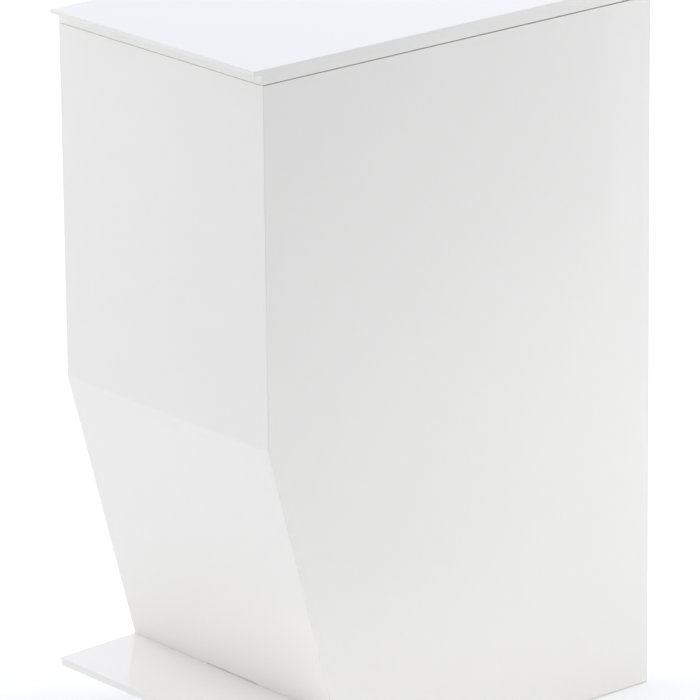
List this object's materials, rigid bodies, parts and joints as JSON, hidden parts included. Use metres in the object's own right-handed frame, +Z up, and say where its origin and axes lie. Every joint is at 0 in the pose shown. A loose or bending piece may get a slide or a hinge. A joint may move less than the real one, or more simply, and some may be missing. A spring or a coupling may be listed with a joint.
{
  "type": "pedal waste bin",
  "caption": "Deep narrow pedal bin in glossy white sheet; leaning lower front, flat hinged lid lifted by a pedal and push rod, lift-out bucket.",
  "frame": {"origin": "on the floor, under the middle of the box from pedal edge to hinge knuckles", "axes": "+Z up, -Y towards the front and the pedal, +X to the right of someone facing the front"},
  "size_m": [0.26, 0.4306, 0.6127],
  "materials": {
    "gloss_white": "high gloss cast sheet",
    "steel": "zinc plated, satin",
    "nylon": "natural nylon",
    "soft_pad": "soft translucent pad",
    "bucket_plastic": "moulded, lightly textured"
  },
  "bodies": {
    "cabinet": {"front_panel": "gloss_white", "left_side_panel": "gloss_white", "right_side_panel": "gloss_white", "base_plate": "gloss_white", "bucket_shelf": "gloss_white", "left_shelf_rail": "gloss_white", "right_shelf_rail": "gloss_white", "rear_panel": "gloss_white", "foot_front_left": "soft_pad", "lid_bumper_front_left": "soft_pad", "foot_rear_left": "soft_pad", "lid_bumper_rear_left": "soft_pad", "foot_front_right": "soft_pad", "lid_bumper_front_right": "soft_pad", "foot_rear_right": "soft_pad", "lid_bumper_rear_right": "soft_pad", "lower_rod_guide": "nylon", "upper_rod_guide": "nylon", "hinge_body_leaf_left": "steel", "hinge_pin_left": "steel", "hinge_body_leaf_right": "steel", "hinge_pin_right": "steel", "hinge_body_screw_left_1": "steel", "hinge_body_screw_left_2": "steel", "hinge_body_screw_right_1": "steel", "hinge_body_screw_right_2": "steel", "pivot_bracket_left": "steel", "axle_clip_left": "steel", "pivot_bracket_right": "steel", "axle_clip_right": "steel", "pivot_axle": "steel", "bracket_screw_1": "steel", "bracket_screw_2": "steel", "bracket_screw_3": "steel", "bracket_screw_4": "steel"},
    "lid": {"lid_plate": "gloss_white", "lid_front_rail": "gloss_white", "lid_rear_rail": "gloss_white", "lid_left_rail": "gloss_white", "lid_right_rail": "gloss_white", "lid_lug": "steel", "lug_pin": "steel", "hinge_lid_leaf_left": "steel", "hinge_lid_leaf_right": "steel", "hinge_lid_screw_left_1": "steel", "hinge_lid_screw_left_2": "steel", "hinge_lid_screw_right_1": "steel", "hinge_lid_screw_right_2": "steel"},
    "pedal": {"pedal_plate": "gloss_white", "pedal_lever": "steel", "tongue_screw_1": "steel", "tongue_screw_2": "steel", "rod_pin": "steel", "lever_bush_left": "nylon", "lever_bush_right": "nylon"},
    "rod": {"push_rod": "steel"},
    "bucket": {"inner_bucket": "bucket_plastic"}
  },
  "joints": [
    {"name": "lid_hinge", "type": "hinge", "parent": "cabinet", "child": "lid", "pos_m": [0, 0.2121, 0.60015], "axis": [-1, 0, 0], "range_deg": [0, 75]},
    {"name": "pedal_hinge", "type": "hinge", "parent": "cabinet", "child": "pedal", "pos_m": [0, -0.0114, 0.04509], "axis": [1, 0, 0], "range_deg": [0, 9.1]},
    {"name": "rod_slide", "type": "slide", "parent": "cabinet", "child": "rod", "axis": [0, 0, 1], "range_m": [0, 0.0318]},
    {"name": "bucket_lift", "type": "slide", "parent": "cabinet", "child": "bucket", "axis": [0, 0, 1], "range_m": [0, 0.006]}
  ],
  "couplings": [
    {"joint": "pedal_hinge", "follows": "lid_hinge", "ratio": 0.12074},
    {"joint": "rod_slide", "follows": "lid_hinge", "m_per_rad": 0.024183}
  ]
}
